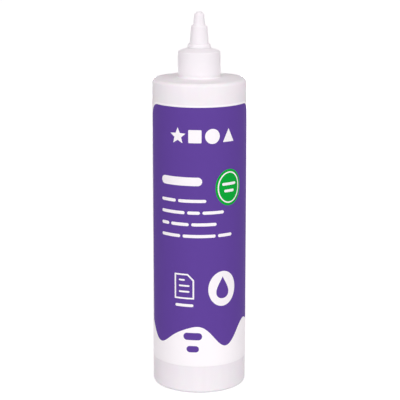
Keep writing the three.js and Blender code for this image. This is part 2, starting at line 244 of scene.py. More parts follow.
class StudioSettings(PropertyGroup):
    """Camera and light of the studio."""
    camera_distance: length("Camera distance", 900, "Distance from the bottle's axis to the camera")
    camera_height: length("Camera height", 321.1, "Height of the camera above the floor")
    camera_turn: angle("Camera turn", -3.5, "How far round from the label's middle the camera stands")
    camera_aside: length("Camera aside", 0.5, "How far the picture's middle lies to the right of the axis")
    camera_pitch: angle("Camera pitch", 12.57, "How far the camera looks down")
    lens: amount("Lens", 129.1, "Focal length on a 36 mm sensor", min=1, unit="CAMERA")
    key_power: amount("Key light", 4, "Power of the soft light in front", min=0, unit="POWER")
    key_width: length("Key width", 1500, "Width of the soft light in front")
    key_height: length("Key height", 700, "Height of the front light's face")
    key_lift: length("Key lift", 400, "Height of the front light's middle above the floor")
    fill_power: amount("Fill light", 15, "Power of the soft light behind", min=0, unit="POWER")
    fill_width: length("Fill width", 800, "Width of the soft light behind")
    fill_height: length("Fill height", 160, "Height of the back light's face")
    fill_lift: length("Fill lift", 100, "Height of the back light's middle above the floor")
    lamp_distance: length("Lamp distance", 1500, "Distance of both soft lights from the axis")
    front_light: amount("Front light", 1.34, "Strength of the even light from in front", min=0)
    back_light: amount("Back light", 0.2, "Strength of the even light from behind", min=0)
    light_lean: angle("Light lean", 10, "How far below level the middle of the front light lies")
    light_edge: amount("Light edge", 0.3, "Softness of the border between the even lights", min=0.01, max=1)
    front_tint: colour("Front tint", "#fffafc", "Colour of the even light from in front")
    back_tint: colour("Back tint", "#ffe6ee", "Colour of the even light from behind")
    floor_lift: amount("Floor lift", 0.62, "Brightness added to the floor in the picture", min=0)


class GlueBottle(PropertyGroup):
    """All settings of the model."""
    bottle: PointerProperty(type=BottleSizes)
    thread: PointerProperty(type=ThreadSizes)
    collar: PointerProperty(type=CollarSizes)
    nozzle: PointerProperty(type=NozzleSizes)
    label: PointerProperty(type=LabelSizes)
    finishes: PointerProperty(type=Finishes)
    studio: PointerProperty(type=StudioSettings)


# Modelling steps that several pieces share.

def start(add_primitive, name, **settings):
    """Adds a primitive as a new piece, selected alone, with its place in its mesh."""
    bpy.ops.object.select_all(action="DESELECT")
    add_primitive(**settings)
    piece = bpy.context.object
    piece.name = name
    piece.data.name = name
    bpy.ops.object.transform_apply(location=True, rotation=True, scale=True)
    return piece


def pick(piece):
    """Makes a piece the only selected object and the active one."""
    bpy.ops.object.select_all(action="DESELECT")
    bpy.context.view_layer.objects.active = piece
    piece.select_set(True)


@contextmanager
def edit_mode(piece):
    """Edits a piece with all of its points selected."""
    pick(piece)
    bpy.ops.object.mode_set(mode="EDIT")
    bpy.ops.mesh.select_mode(type="VERT")
    bpy.ops.mesh.select_all(action="SELECT")
    yield
    bpy.ops.object.mode_set(mode="OBJECT")


def select_points(piece, test):
    """Selects the points of a piece in edit mode whose place passes a test."""
    shape = bmesh.from_edit_mesh(piece.data)
    for point in shape.verts:
        point.select = test(point.co)
    shape.select_flush_mode()
    bmesh.update_edit_mesh(piece.data)


def close_up():
    """Merges the doubled points of the mesh in edit mode and turns its faces outwards."""
    bpy.ops.mesh.select_all(action="SELECT")
    bpy.ops.mesh.remove_doubles(threshold=WELD_DISTANCE)
    bpy.ops.mesh.normals_make_consistent(inside=False)


def apply_modifier(piece, kind, **settings):
    """Adds a modifier with its settings and applies it."""
    pick(piece)
    bpy.ops.object.modifier_add(type=kind)
    modifier = piece.modifiers[-1]
    for name, value in settings.items():
        setattr(modifier, name, value)
    bpy.ops.object.modifier_apply(modifier=modifier.name)


def fuse(piece, addition):
    """Fuses another closed shape into a piece."""
    apply_modifier(piece, "BOOLEAN", object=addition, operation="UNION", solver="EXACT")
    bpy.data.objects.remove(addition)
    with edit_mode(piece):
        close_up()


def copy_of(piece):
    """Copy of a piece, with its own mesh."""
    pick(piece)
    bpy.ops.object.duplicate()
    return bpy.context.object


def merge(pieces):
    """Joins separate shapes into the first one's mesh."""
    pick(pieces[0])
    for piece in pieces[1:]:
        piece.select_set(True)
    if len(pieces) > 1:
        bpy.ops.object.join()
    return pieces[0]


def smooth(piece):
    """Shades a piece smooth up to its sharp edges."""
    pick(piece)
    bpy.ops.object.shade_smooth_by_angle(angle=SHARP_ANGLE)


def reach_of(before, corner, after, rounding):
    """How far along its edges a corner's arc begins."""
    towards, away = (before - corner).normalized(), (after - corner).normalized()
    return rounding / math.tan(towards.angle(away) / 2)


def turned(name, corners, steps, closed=True):
    """Draws an outline through corners of radius, height and rounding, and spins it around the axis.

    An outline that isn't closed starts and ends on the axis.
    """
    places = [Vector((corner[0], 0, corner[1])) for corner in corners]
    piece = start(bpy.ops.mesh.primitive_plane_add, name, size=MM, location=places[0])
    with edit_mode(piece):
        bpy.ops.mesh.merge(type="CENTER")
        for here, there in zip(places, places[1:]):
            bpy.ops.mesh.extrude_region_move(TRANSFORM_OT_translate={"value": there - here})
        if closed:
            ends = places[0], places[-1]
            select_points(piece, lambda point: any((point - end).length < WELD_DISTANCE for end in ends))
            bpy.ops.mesh.edge_face_add()
        for i, corner in enumerate(corners):
            if len(corner) < 3 or corner[2] <= 0:
                continue
            here, rounding = places[i], corner[2]
            reach = reach_of(places[i - 1], here, places[(i + 1) % len(places)], rounding)
            select_points(piece, lambda point: (point - here).length < WELD_DISTANCE)
            bpy.ops.mesh.bevel(offset=reach, segments=ARC_STEPS, affect="VERTICES", clamp_overlap=False)
        bpy.ops.mesh.select_all(action="SELECT")
        bpy.ops.mesh.spin(steps=steps, angle=FULL_TURN, center=(0, 0, 0), axis=(0, 0, 1))
        close_up()
    return piece


# Steps of its run-out by which a ridge's end stands up, so that its end face doesn't shrink to a line.
RIDGE_END = 0.5


def thread_ridge(name, thread, wall_radius, crest_radius, height):
    """Helical ridge on a wall, which rises out of it and sinks back at its ends."""
    outwards = math.copysign(1, crest_radius - wall_radius)
    root_radius = wall_radius - outwards * thread.root_sunk
    middle = (root_radius + crest_radius) / 2
    centre = Vector((middle, 0, height))
    ridge = start(bpy.ops.mesh.primitive_plane_add, name, size=1, location=centre, rotation=UPRIGHT)
    with edit_mode(ridge):
        bpy.ops.transform.resize(value=(abs(crest_radius - root_radius), 1, thread.foot_width),
                                 center_override=centre)
        select_points(ridge, lambda point: abs(point.x - crest_radius) < WELD_DISTANCE)
        bpy.ops.transform.resize(value=(1, 1, thread.crest_width / thread.foot_width),
                                 center_override=(crest_radius, 0, height))
    section = len(ridge.data.vertices)
    rings = round(thread.steps * thread.turns)
    apply_modifier(ridge, "SCREW", angle=FULL_TURN * thread.turns,
                   screw_offset=thread.pitch * thread.turns, steps=rings, render_steps=rings)
    # The screw adds the sections one after another, so a point's number says how far along it is.
    run_out_rings = thread.steps * thread.run_out / FULL_TURN
    for number, point in enumerate(ridge.data.vertices):
        ring = number // section
        share = min(1, (RIDGE_END + min(ring, rings - ring)) / run_out_rings)
        radius = math.hypot(point.co.x, point.co.y)
        point.co.xy *= (root_radius + (radius - root_radius) * share) / radius
    with edit_mode(ridge):
        bpy.ops.mesh.select_all(action="DESELECT")
        bpy.ops.mesh.select_non_manifold()
        bpy.ops.mesh.fill_holes(sides=0)
        close_up()
    return ridge


def finish(piece, material, body, replaced=None):
    """Gives a piece its material and puts it on the body that carries it."""
    piece.data.materials.clear()
    piece.data.materials.append(material)
    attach(piece, body)
    if replaced:
        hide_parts(replaced)


# Materials.

# Factors by which a pattern darkens and lightens its colour.
CLOUD_DARK, CLOUD_PALE = 0.975, 1.02
# Painted shade: the factor that darkens the bottom of each foam pit.
CELL_PIT_SHADE = 0.94
FIBRE_DARK, FIBRE_PALE = 0.99, 1.01
# Levels of finer noise in a pattern, and strengths of the bumps.
CLOUD_DETAIL, GRAIN_DETAIL = 3, 2
GRAIN_BUMP, CELL_BUMP = 0.5, 0.6
# Sizes in millimetres: width and depth of the liner's foam cells, and width of the paper's fibre clouds.
CELL_WIDTH, CELL_DEPTH = 0.5, 0.1
FIBRE_CLOUD = 40


def add(tree, kind, inputs=None, **settings):
    """Adds a node with its settings, and sets its inputs to values or links them to other outputs."""
    made = tree.nodes.new(kind)
    for name, value in settings.items():
        setattr(made, name, value)
    for name, value in (inputs or {}).items():
        if isinstance(value, NodeSocket):
            tree.links.new(value, made.inputs[name])
        else:
            made.inputs[name].default_value = value
    return made


def per_metre(millimetres):
    """Scale of a pattern whose features are this far apart."""
    return 1 / (millimetres * MM)


def material_tree(name):
    """New material's empty node tree, with the material."""
    material = bpy.data.materials.new(name)
    material.use_nodes = True
    material.node_tree.nodes.clear()
    return material, material.node_tree


def shade_of(base, factor):
    """Colour with alpha, lightened or darkened by a factor."""
    return [min(1, channel * factor) for channel in base] + [1]


def moulded_plastic(name, base, cloud, grain, depth, roughness, shader, draw=1):
    """Plastic with faint clouds in its colour and a fine grain in its skin, both in millimetres.

    The clouds are drawn out up the axis by a factor.
    """
    material, tree = material_tree(name)
    place = add(tree, "ShaderNodeTexCoord").outputs["Object"]
    drawn = add(tree, "ShaderNodeMapping", {"Vector": place, "Scale": (1, 1, 1 / draw)})
    clouds = add(tree, "ShaderNodeTexNoise", {
        "Vector": drawn.outputs["Vector"], "Scale": per_metre(cloud), "Detail": CLOUD_DETAIL})
    tint = add(tree, "ShaderNodeMix", data_type="RGBA", inputs={
        "Factor": clouds.outputs["Fac"], "A": shade_of(base, CLOUD_DARK), "B": shade_of(base, CLOUD_PALE)})
    skin = add(tree, "ShaderNodeTexNoise", {
        "Vector": place, "Scale": per_metre(grain), "Detail": GRAIN_DETAIL})
    sheen = add(tree, "ShaderNodeMapRange", {
        "Value": skin.outputs["Fac"], "To Min": roughness[0], "To Max": roughness[1]})
    bump = add(tree, "ShaderNodeBump", {
        "Height": skin.outputs["Fac"], "Strength": GRAIN_BUMP, "Distance": depth * MM})
    surface = add(tree, "ShaderNodeBsdfPrincipled", {
        "Base Color": tint.outputs["Result"], "Roughness": sheen.outputs["Result"],
        "Normal": bump.outputs["Normal"], **shader})
    add(tree, "ShaderNodeOutputMaterial", {"Surface": surface.outputs["BSDF"]})
    return material


def blown_polyethylene(base):
    """High-density polyethylene, blown into a lightly blasted mould."""
    # A satin, faintly pebbled skin on a milky wall, with pale streaks up it from the die that drew the tube.
    # The real pebbles are about 0.2 mm apart, drawn coarser to show.
    return moulded_plastic(
        "blown_polyethylene", base, cloud=5, draw=40, grain=0.9, depth=0.02, roughness=(0.42, 0.52), shader={
            "IOR": 1.54, "Specular IOR Level": 0.15, "Subsurface Weight": 0.5,
            "Subsurface Radius": (1.0, 0.6, 0.8), "Subsurface Scale": 1.2 * MM})


def moulded_polypropylene(base):
    """Polypropylene, injection-moulded in a polished mould."""
    # A smoother, slightly glossier white than the bottle, with faint flow marks where the melt met.
    return moulded_plastic(
        "moulded_polypropylene", base, cloud=7, grain=1.4, depth=0.012, roughness=(0.3, 0.4), shader={
            "IOR": 1.49, "Specular IOR Level": 0.4, "Subsurface Weight": 0.5,
            "Subsurface Radius": (1.0, 0.9, 0.95), "Subsurface Scale": 1.2 * MM})


def closure_plastic(base):
    """Plastic of the collar and the nozzle, made for whichever is moulded first."""
    return bpy.data.materials.get("moulded_polypropylene") or moulded_polypropylene(base)


def label_film(base):
    """White polypropylene film, cast and stretched, with a gloss face."""
    # An even bright white with long faint ripples from the roll and the adhesive under it.
    return moulded_plastic(
        "polypropylene_film", base, cloud=24, grain=3.5, depth=0.012, roughness=(0.3, 0.38), shader={
            "IOR": 1.49, "Specular IOR Level": 0.4})


def screen_ink(name, base):
    """Ultraviolet-cured screen ink on film."""
    # A solid satin colour with the soft mesh mark of the screen. Its threads are 0.1 mm apart, drawn coarser
    # to show.
    return moulded_plastic(name, base, cloud=30, grain=0.8, depth=0.006, roughness=(0.5, 0.6), shader={
        "IOR": 1.5, "Specular IOR Level": 0.06})


def foamed_polyethylene(base):
    """Foamed polyethylene, cut from sheet."""
    # A dull off-white sheet pitted with small closed cells, with painted shade darkening each pit towards its
    # bottom.
    material, tree = material_tree("foamed_polyethylene")
    place = add(tree, "ShaderNodeTexCoord").outputs["Object"]
    cells = add(tree, "ShaderNodeTexVoronoi", {"Vector": place, "Scale": per_metre(CELL_WIDTH)})
    # Painted shade: the colour darkens towards each pit's bottom, where the bump sinks deepest.
    tint = add(tree, "ShaderNodeMix", data_type="RGBA", inputs={
        "Factor": cells.outputs["Distance"], "A": shade_of(base, CELL_PIT_SHADE), "B": shade_of(base, 1)})
    bump = add(tree, "ShaderNodeBump", {
        "Height": cells.outputs["Distance"], "Strength": CELL_BUMP, "Distance": CELL_DEPTH * MM})
    surface = add(tree, "ShaderNodeBsdfPrincipled", {
        "Base Color": tint.outputs["Result"], "Normal": bump.outputs["Normal"], "Roughness": 0.8, "IOR": 1.5})
    add(tree, "ShaderNodeOutputMaterial", {"Surface": surface.outputs["BSDF"]})
    return material


def white_glue(base):
    """Polyvinyl acetate dispersion, wet."""
    # A thick glossy cream with slow folds where it was poured.
    return moulded_plastic(
        "polyvinyl_acetate_glue", base, cloud=22, grain=9, depth=0.2, roughness=(0.12, 0.2), shader={
            "IOR": 1.46, "Subsurface Weight": 0.3,
            "Subsurface Radius": (1.0, 0.85, 0.7), "Subsurface Scale": 2 * MM})


def seen_directly(tree):
    """Factor that is 1 for rays from the camera, a reflection or glass, and 0 for light on a surface."""
    path = add(tree, "ShaderNodeLightPath").outputs
    seen = path["Is Camera Ray"]
    for other in ("Is Glossy Ray", "Is Transmission Ray"):
        seen = add(tree, "ShaderNodeMath", {0: seen, 1: path[other]}, operation="MAXIMUM").outputs[0]
    return seen


def studio_paper(base, lift):
    """Matt white paper roll, lifted to white in the picture, with the bottle's shadow kept."""
    # An even, shadow-catching sweep with a barely visible fibre cloud.
    material, tree = material_tree("studio_paper")
    place = add(tree, "ShaderNodeTexCoord").outputs["Object"]
    fibres = add(tree, "ShaderNodeTexNoise", {
        "Vector": place, "Scale": per_metre(FIBRE_CLOUD), "Detail": GRAIN_DETAIL})
    tint = add(tree, "ShaderNodeMix", data_type="RGBA", inputs={
        "Factor": fibres.outputs["Fac"], "A": shade_of(base, FIBRE_DARK), "B": shade_of(base, FIBRE_PALE)})
    paper = add(tree, "ShaderNodeBsdfDiffuse", {"Color": tint.outputs["Result"]})
    level = add(tree, "ShaderNodeMath", {0: seen_directly(tree), 1: lift}, operation="MULTIPLY")
    glow = add(tree, "ShaderNodeEmission", {"Strength": level.outputs[0]})
    both = add(tree, "ShaderNodeAddShader", {0: paper.outputs["BSDF"], 1: glow.outputs["Emission"]})
    add(tree, "ShaderNodeOutputMaterial", {"Surface": both.outputs["Shader"]})
    return material


# Bottle.

BODY_STEPS = 192
PINCH_STEPS = 4


def body_radius(sizes):
    """Radius of the body's side, from which the parting line stands out to the full width."""
    return BOTTLE_HIGH.x - sizes.parting_height


def cavity_corners(sizes, gap, height):
    """Corners of the cavity, drawn in by a gap, from its floor's middle to its side wall at a height."""
    side = body_radius(sizes) - sizes.wall - gap
    floor = BOTTLE_LOW.z + sizes.wall + gap
    foot = body_radius(sizes) - sizes.heel_radius - sizes.foot_ring_width
    return [
        (0, floor + sizes.hollow_depth),
        (foot - sizes.hollow_slope, floor + sizes.hollow_depth, sizes.hollow_radius),
        (foot, floor, sizes.foot_edge_radius),
        (side, floor, sizes.heel_radius - sizes.wall),
        (side, height, sizes.shoulder_radius - sizes.wall),
    ]


def bottle_corners(sizes):
    """Corners of the bottle's wall, from under the base's middle round the outside and in to the base."""
    side, ground, lip = body_radius(sizes), BOTTLE_LOW.z, BOTTLE_HIGH.z
    foot = side - sizes.heel_radius - sizes.foot_ring_width
    neck = sizes.neck_diameter / 2
    ring = neck + sizes.neck_ring_proud
    bore = neck - sizes.neck_wall
    ring_top = COLLAR_LOW.z - sizes.neck_ring_gap
    shoulder_edge = sizes.shoulder_height - sizes.shoulder_rise
    outside = [
        (0, ground + sizes.hollow_depth),
        (foot - sizes.hollow_slope, ground + sizes.hollow_depth, sizes.hollow_radius),
        (foot, ground, sizes.foot_edge_radius),
        (side, ground, sizes.heel_radius),
        (side, shoulder_edge, sizes.shoulder_radius),
        (ring, sizes.shoulder_height, sizes.neck_root_radius),
        (ring, ring_top, sizes.neck_ring_radius),
        (neck, ring_top),
        (neck, lip, sizes.lip_radius),
        (bore, lip, sizes.lip_radius),
        (bore, sizes.shoulder_height - sizes.wall, sizes.neck_root_radius),
    ]
    return outside + cavity_corners(sizes, 0, shoulder_edge - sizes.wall)[::-1]


def raise_parting_line(piece, sizes):
    """Raises the line where the halves of the mould met, up both sides and across the shoulder."""
    inner = body_radius(sizes) - sizes.wall / 2
    above = sizes.shoulder_height - sizes.shoulder_rise - sizes.wall / 2
    neck_foot = sizes.neck_diameter / 2 + sizes.neck_ring_proud + sizes.neck_root_radius

    def on_line(point):
        outside = abs(point.x) > inner or (point.z > above and abs(point.x) > neck_foot)
        return outside and abs(point.y) < WELD_DISTANCE

    with edit_mode(piece):
        for side in (-1, 1):
            bpy.ops.mesh.select_all(action="SELECT")
            bpy.ops.mesh.bisect(plane_co=(0, side * sizes.parting_width / 2, 0), plane_no=(0, 1, 0))
        select_points(piece, on_line)
        bpy.ops.transform.shrink_fatten(value=sizes.parting_height)


def pinch_off(sizes):
    """Weld bead across the base, where the mould pinched the tube of plastic shut."""
    ceiling = BOTTLE_LOW.z + sizes.hollow_depth
    height = sizes.pinch_height + sizes.wall / 2
    centre = Vector((0, 0, ceiling - sizes.pinch_height + height / 2))
    bead = start(bpy.ops.mesh.primitive_cube_add, "pinch_off", size=1, location=centre)
    with edit_mode(bead):
        bpy.ops.transform.resize(value=(sizes.pinch_length, sizes.pinch_width, height),
                                 center_override=centre)
        bpy.ops.mesh.bevel(offset=sizes.pinch_radius, segments=PINCH_STEPS, affect="EDGES")
        close_up()
    return bead


class GLUE_BOTTLE_OT_blow_bottle(Operator):
    """Models the blown bottle with its neck thread, parting line and pinched base"""
    bl_idname = "glue_bottle.blow_bottle"
    bl_label = "Blow Bottle"

    def execute(self, context):
        settings = context.scene.glue_bottle
        sizes, thread = settings.bottle, settings.thread
        bottle = turned("bottle_shell", bottle_corners(sizes), BODY_STEPS, closed=False)
        raise_parting_line(bottle, sizes)
        fuse(bottle, pinch_off(sizes))
        fuse(bottle, thread_ridge("neck_thread", thread, sizes.neck_diameter / 2, thread.neck_crest / 2,
                                  thread.first_height))
        smooth(bottle)
        plastic = blown_polyethylene(settings.finishes.bottle)
        finish(bottle, plastic, "bottle", "bottle_body")
        return {"FINISHED"}


class GLUE_BOTTLE_OT_fill_glue(Operator):
    """Models the glue in the bottle, with its edge drawn up the wall"""
    bl_idname = "glue_bottle.fill_glue"
    bl_label = "Fill Glue"

    def execute(self, context):
        settings = context.scene.glue_bottle
        sizes = settings.bottle
        surface = GLUE_HIGH.z - sizes.meniscus
        *floor, (side, top, _) = cavity_corners(sizes, sizes.glue_gap, GLUE_HIGH.z)
        edge = (side - sizes.meniscus / 2, surface, sizes.meniscus)
        glue = turned("glue_pool", floor + [(side, top), edge, (0, surface)], BODY_STEPS, closed=False)
        smooth(glue)
        finish(glue, white_glue(settings.finishes.glue), "bottle", "glue_fill")
        return {"FINISHED"}


# Closure.

COLLAR_STEPS = 144
NOZZLE_STEPS = 128
PIN_STEPS = 64
ARM_EDGE_STEPS = 2

Post = namedtuple("Post", "bead_low bead_high top bead lip radius")


def barrel_bore(nozzle, height):
    """Radius of the nozzle's tapered barrel bore at a height."""
    foot, top = nozzle.barrel_foot / 2 - nozzle.wall, nozzle.barrel_top / 2 - nozzle.wall
    low = NOZZLE_LOW.z + nozzle.foot_ring_height
    share = (height - low) / (barrel_bore_top(nozzle) - low)
    return foot + (top - foot) * share


def tip_bore_foot(nozzle):
    """Height of the tip bore's foot."""
    step = NOZZLE_LOW.z + nozzle.foot_ring_height + nozzle.barrel_height + nozzle.step_rise
    return step - nozzle.wall


def barrel_bore_top(nozzle):
    """Height where the barrel's bore turns in towards the tip's."""
    return tip_bore_foot(nozzle) - abs(nozzle.barrel_top - nozzle.tip_foot) / 2


def post_places(collar, nozzle):
    """Heights of the post's bead and top, and radii of its bead, its wiping lip and the post itself."""
    bead_low = NOZZLE_LOW.z + nozzle.snap_ring_height + nozzle.rise + nozzle.running_gap
    bead_high = bead_low + collar.bead_height
    top = NOZZLE_LOW.z + nozzle.foot_ring_height + nozzle.barrel_height - collar.post_below_step
    bead = barrel_bore(nozzle, bead_high) - nozzle.running_gap
    lip = barrel_bore(nozzle, top) - nozzle.running_gap
    return Post(bead_low, bead_high, top, bead, lip, radius=bead - collar.bead_proud)


def collar_corners(collar, nozzle):
    """Corners of the collar's skirt, deck, post and funnel."""
    radius, bottom = COLLAR_HIGH.x, COLLAR_LOW.z
    bore = radius - collar.wall
    deck_edge = bottom + collar.skirt_height
    deck_top = NOZZLE_LOW.z - nozzle.seat_gap
    ceiling = deck_edge - collar.deck_thickness
    post = post_places(collar, nozzle)
    funnel = post.radius - collar.post_wall
    small, inner = collar.edge_break, collar.inner_radius
    return [
        (bore, bottom, inner),
        (radius, bottom, collar.skirt_edge_radius),
        (radius - collar.draft, deck_edge, collar.edge_radius),
        (NOZZLE_HIGH.x + nozzle.running_gap, deck_top, small),
        (post.radius, deck_top, small),
        (post.radius, post.bead_low, small),
        (post.bead, post.bead_low, small),
        (post.bead, post.bead_low + collar.bead_height / 2, small),
        (post.radius, post.bead_high, small),
        (post.radius, post.top - collar.lip_height, small),
        (post.lip, post.top, small),
        (funnel, post.top, small),
        (funnel, deck_top - collar.deck_thickness, inner),
        (collar.mouth_diameter / 2, ceiling, small),
        (bore, ceiling, inner),
    ]


def plug_pin(collar, nozzle):
    """Plug pin on its hub, with the arms that carry it across the post."""
    post = post_places(collar, nozzle)
    radius = nozzle.orifice / 2 - nozzle.plug_gap
    hub = radius + collar.hub_proud
    foot = post.top - collar.arm_height
    corners = [
        (0, foot),
        (hub, foot, collar.edge_break),
        (hub, post.top, collar.edge_break),
        (radius, post.top + collar.hub_proud),
        (radius, COLLAR_HIGH.z, collar.pin_end_radius),
        (0, COLLAR_HIGH.z),
    ]
    pin = turned("plug_pin", corners, PIN_STEPS, closed=False)
    reach = post.radius - collar.post_wall / 2
    height = collar.arm_height - 2 * collar.edge_break
    centre = Vector((reach / 2, 0, post.top - collar.arm_height / 2))
    arm = start(bpy.ops.mesh.primitive_cube_add, "plug_pin_arm", size=1, location=centre)
    with edit_mode(arm):
        bpy.ops.transform.resize(value=(reach, collar.arm_width, height), center_override=centre)
        bpy.ops.mesh.bevel(offset=collar.edge_break, segments=ARM_EDGE_STEPS, affect="EDGES")
        close_up()
    for number in range(collar.arm_count):
        turned_arm = copy_of(arm)
        with edit_mode(turned_arm):
            bpy.ops.transform.rotate(value=FULL_TURN * number / collar.arm_count, orient_axis="Z",
                                     center_override=(0, 0, 0))
        fuse(pin, turned_arm)
    bpy.data.objects.remove(arm)
    return pin


class GLUE_BOTTLE_OT_mould_collar(Operator):
    """Models the screw collar with its inner thread, post, arms and plug pin"""
    bl_idname = "glue_bottle.mould_collar"
    bl_label = "Mould Collar"

    def execute(self, context):
        settings = context.scene.glue_bottle
        sizes, nozzle, thread = settings.collar, settings.nozzle, settings.thread
        collar = turned("collar_moulding", collar_corners(sizes, nozzle), COLLAR_STEPS)
        fuse(collar, plug_pin(sizes, nozzle))
        bore = COLLAR_HIGH.x - sizes.wall
        fuse(collar, thread_ridge("collar_thread", thread, bore, thread.collar_crest / 2,
                                  thread.first_height + thread.pitch / 2))
        smooth(collar)
        plastic = closure_plastic(settings.finishes.closure)
        finish(collar, plastic, "collar", "screw_collar")
        return {"FINISHED"}


def nozzle_corners(nozzle, collar):
    """Corners of the nozzle, up its outside and down its bore."""
    bottom, top, ring = NOZZLE_LOW.z, NOZZLE_HIGH.z, NOZZLE_HIGH.x
    barrel_foot = bottom + nozzle.foot_ring_height
    barrel_top = barrel_foot + nozzle.barrel_height
    tip_foot = barrel_top + nozzle.step_rise
    orifice = nozzle.orifice / 2
    tip_bore = nozzle.tip_end / 2 - nozzle.wall
    tip_bore_top = top - nozzle.orifice_land
    snap_top = bottom + nozzle.snap_ring_height
    snap_radius = post_places(collar, nozzle).radius + nozzle.running_gap
    bore_foot = snap_top + nozzle.barrel_foot / 2 - nozzle.wall - snap_radius
    small, inner = collar.edge_break, collar.inner_radius
    return [
        (snap_radius, bottom, small),
        (ring, bottom, small),
        (ring, barrel_foot, nozzle.foot_ring_radius),
        (nozzle.barrel_foot / 2, barrel_foot, inner),
        (nozzle.barrel_top / 2, barrel_top, nozzle.barrel_top_radius),
        (nozzle.tip_foot / 2, tip_foot, inner),
        (nozzle.tip_end / 2, tip_foot + nozzle.tip_height, nozzle.crown_radius),
        (orifice + nozzle.crown_flat, top, small),
        (orifice, top, small),
        (orifice, tip_bore_top),
        (tip_bore, tip_bore_top - (tip_bore - orifice)),
        (nozzle.tip_foot / 2 - nozzle.wall, tip_bore_foot(nozzle)),
        (nozzle.barrel_top / 2 - nozzle.wall, barrel_bore_top(nozzle)),
        (barrel_bore(nozzle, bore_foot), bore_foot),
        (snap_radius, snap_top, small),
    ]


class GLUE_BOTTLE_OT_mould_nozzle(Operator):
    """Models the stepped nozzle with its foot ring, snap ring, bore and orifice"""
    bl_idname = "glue_bottle.mould_nozzle"
    bl_label = "Mould Nozzle"

    def execute(self, context):
        settings = context.scene.glue_bottle
        corners = nozzle_corners(settings.nozzle, settings.collar)
        nozzle = turned("nozzle_moulding", corners, NOZZLE_STEPS)
        smooth(nozzle)
        plastic = closure_plastic(settings.finishes.closure)
        finish(nozzle, plastic, "nozzle", "twist_nozzle")
        return {"FINISHED"}


class GLUE_BOTTLE_OT_cut_liner(Operator):
    """Models the sealing liner with the ring that the bottle's lip presses into it"""
    bl_idname = "glue_bottle.cut_liner"
    bl_label = "Cut Liner"

    def execute(self, context):
        settings = context.scene.glue_bottle
        sizes, bottle = settings.collar, settings.bottle
        outer, hole = LINER_HIGH.x, sizes.mouth_diameter / 2
        low, high, bite = LINER_LOW.z, LINER_HIGH.z, LINER_LOW.z + sizes.liner_bite
        lip_outer = bottle.neck_diameter / 2
        lip_inner = lip_outer - bottle.neck_wall
        small = sizes.edge_break
        corners = [
            (hole, low, small),
            (lip_inner, low, small),
            (lip_inner + sizes.liner_bite, bite, small),
            (lip_outer - sizes.liner_bite, bite, small),
            (lip_outer, low, small),
            (outer, low, small),
            (outer, high, small),
            (hole, high, small),
        ]
        liner = turned("liner_wad", corners, COLLAR_STEPS)
        smooth(liner)
        finish(liner, foamed_polyethylene(settings.finishes.liner), "liner", "neck_liner")
        return {"FINISHED"}


# Label.

# The film's back lies level with the parting line.
LABEL_RADIUS = BOTTLE_HIGH.x
# Layers of ink: the field and the foot's bars on the film, marks on the field, and marks on those.
FIELD_LAYER, MARK_LAYER, TOP_LAYER = 1, 2, 3
OVAL_SIDES = 64
# Share of a bar's height that rounds its corners, just under half, so that two arcs don't end in one point.
BAR_ROUNDING = 0.499

# The print is laid out flat in millimetres, across from the label's middle and up from the floor.
# A bar or sheet is its middle, width and height. An oval or drop is its middle, half width and half height.
SHAPES_HEIGHT = 167
SHAPES_LEFT = -15.5
SHAPES_SPACING = 11
DISC_RADIUS = 4.7
# The triangle stands in an oval of this half width and half height, a little below the other shapes.
TRIANGLE_OVAL = (4.7, 5.6)
TRIANGLE_DROP = 1.2
SQUARE_SIDE = 8.2
SQUARE_ROUNDING = 0.6
STAR_RADIUS = 5.4
STAR_POINTS = 5
STAR_WAIST = 0.45
LEAD_BAR = (-14, 138.6, 28, 5.4)
# Each row of bars is its height and the widths of its bars, from the left.
ROWS_LEFT = -28
ROW_GAP = 1.6
ROWS = (
    (126.2, (11, 18)),
    (118.7, (17, 8, 14)),
    (111.2, (6, 12, 16)),
    (103.7, (14, 21, 10)),
)
BADGE = (18.2, 134, 9.8, 11.6)
BADGE_RING = (18.2, 134, 8.3, 10)
BADGE_LINE = 0.8
# The bars on the badge and the sheet are heights and widths.
BADGE_BARS = ((136.2, 10.5), (131.8, 7.5))
BADGE_BAR_HEIGHT = 1.7
DROP_OVAL = (13.5, 69, 9.6, 11.4)
DROP = (13.5, 69.8, 6.2, 7.2)
DROP_TAPER = 0.75
SHEET = (-11.5, 71, 13, 16.5)
SHEET_LINE = 1
SHEET_CUT = 4
SHEET_BARS_LEFT = -15
SHEET_BARS = ((75.2, 4), (71.4, 7), (67.6, 7))
SHEET_BAR_HEIGHT = 1.1
SHEET_FOOT_BAR = (-11.5, 58.6, 12, 1.8)
FOOT_BARS = ((-6, 38.2, 12, 4.8), (-6, 29.8, 8, 4.2))
# Each wave is the height of its crests, their spacing and the place of one.
WAVES = ((6.6, 43, -6), (1.6, 25, 4))


